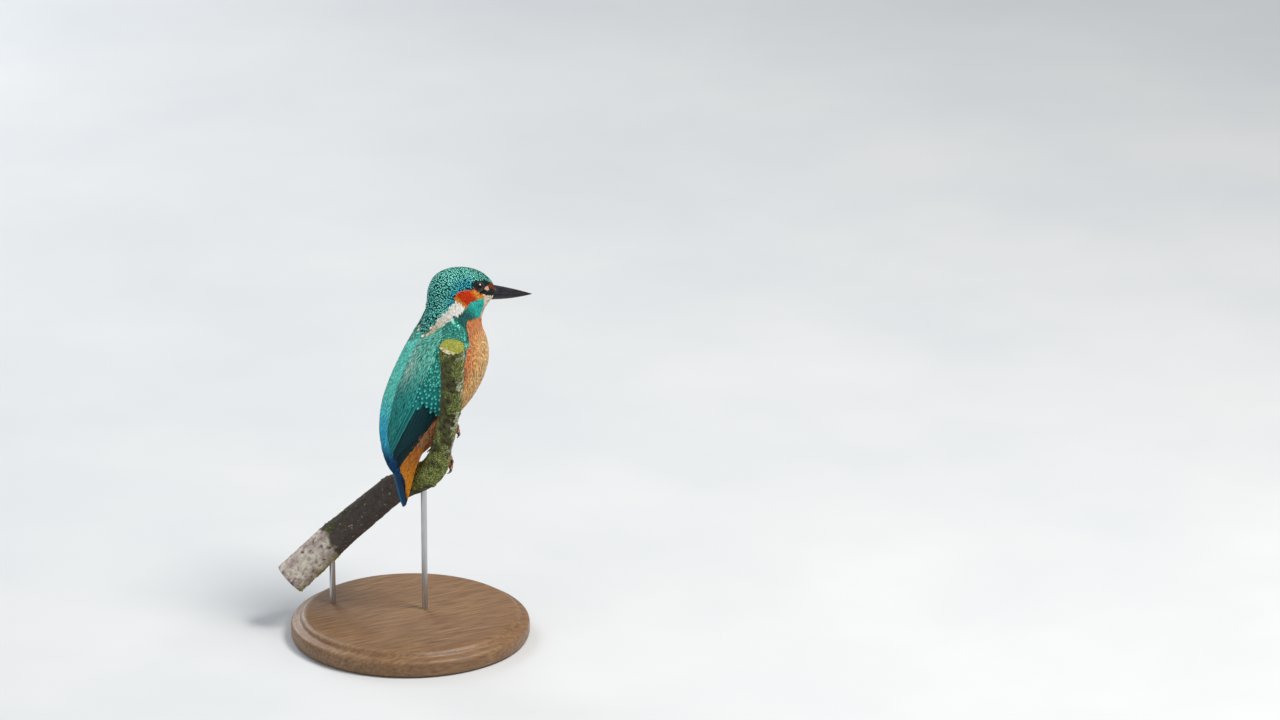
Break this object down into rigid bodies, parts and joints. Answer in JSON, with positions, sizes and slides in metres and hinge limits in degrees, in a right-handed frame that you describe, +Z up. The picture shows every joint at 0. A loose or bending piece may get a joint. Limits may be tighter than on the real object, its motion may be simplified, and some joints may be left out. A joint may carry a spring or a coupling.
{
  "type": "kingfisher",
  "caption": "Life-size still model of a common kingfisher gripping a cut branch, held by two rods on a round display base.",
  "frame": {"origin": "centre of the stand base's flat underside", "axes": "+Z up; +X the way the bird's chest faces; +Y to the bird's left; the bird's body mirrors about the plane Y = 0 before its head turns 7 degrees to its left"},
  "size_m": [0.1325, 0.12, 0.19],
  "materials": {
    "teal_plumage": "overlapping feathers with a structural sheen, teal green on head and wings",
    "orange_plumage": "soft matt feathers, orange on breast and belly",
    "blue_plumage": "stiff overlapping tail feathers, deep blue",
    "bill_horn": "smooth satin horn, black-grey",
    "eye": "polished dark brown-black",
    "foot_skin": "small scales, coral orange",
    "claw_horn": "smooth satin horn, dark brown",
    "bark": "rough bark with moss and lichen, sawn at both ends",
    "oak": "turned, oiled oak",
    "steel": "fine brushed round bar"
  },
  "bodies": {
    "root": {"head": "teal_plumage", "neck": "teal_plumage", "trunk": "orange_plumage", "wing_left": "teal_plumage", "wing_right": "teal_plumage", "tail": "blue_plumage", "bill_upper": "bill_horn", "bill_lower": "bill_horn", "eye_left": "eye", "eye_right": "eye", "leg_left": "foot_skin", "leg_right": "foot_skin", "foot_left": "foot_skin", "foot_right": "foot_skin", "claw_left_inner": "claw_horn", "claw_left_middle": "claw_horn", "claw_left_outer": "claw_horn", "claw_left_hind": "claw_horn", "claw_right_inner": "claw_horn", "claw_right_middle": "claw_horn", "claw_right_outer": "claw_horn", "claw_right_hind": "claw_horn", "perch": "bark", "stand_base": "oak", "stand_rod_front": "steel", "stand_rod_rear": "steel"}
  },
  "joints": []
}
